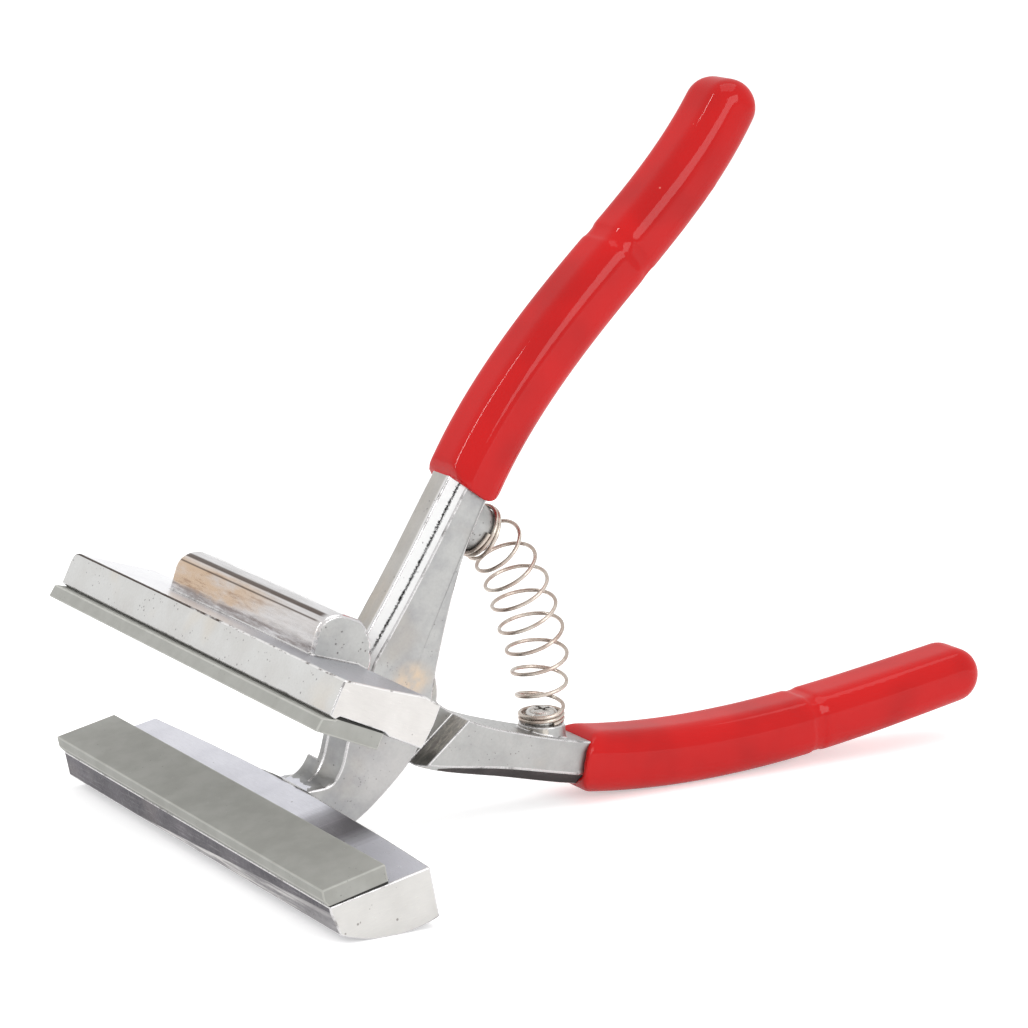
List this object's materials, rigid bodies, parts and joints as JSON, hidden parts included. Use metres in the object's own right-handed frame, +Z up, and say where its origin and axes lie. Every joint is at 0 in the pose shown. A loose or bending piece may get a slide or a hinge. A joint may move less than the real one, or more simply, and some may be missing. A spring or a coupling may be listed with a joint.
{
  "type": "canvas pliers",
  "caption": "Wide-jaw canvas stretching pliers with padded jaws, a hammer rib, a lap-jointed pivot, a bowed return spring and dipped grips.",
  "frame": {"origin": "middle of the narrow flat land under the lower jaw, on which the tool rests", "axes": "+Z up from the surface it rests on; +Y from the mouth back to the handles; +X along the jaws and the pivot, to the right when looking along +Y"},
  "size_m": [0.12, 0.2092, 0.1576],
  "materials": {
    "cast_metal": "plated satin casting",
    "pad": "matte",
    "pin_steel": "ground flush",
    "spring_steel": "warm plated wire",
    "screw_steel": "bright plated",
    "grip": "glossy dipped vinyl"
  },
  "bodies": {
    "lower_jaw_side": {"lower_jaw_lever": "cast_metal", "lower_jaw_pad": "pad", "upper_grip": "grip", "upper_spring_screw": "screw_steel", "return_spring": "spring_steel"},
    "upper_jaw_side": {"upper_jaw_lever": "cast_metal", "upper_jaw_pad": "pad", "lower_grip": "grip", "lower_spring_screw": "screw_steel", "pivot_pin": "pin_steel"}
  },
  "joints": [
    {"name": "pivot", "type": "hinge", "parent": "lower_jaw_side", "child": "upper_jaw_side", "pos_m": [0, 0.03335, 0.02833], "axis": [1, 0, 0], "range_deg": [0, 35.5], "stiffness_Nm_per_rad": 0.8, "springref_deg": -28.65, "deforming": ["return_spring"]}
  ]
}
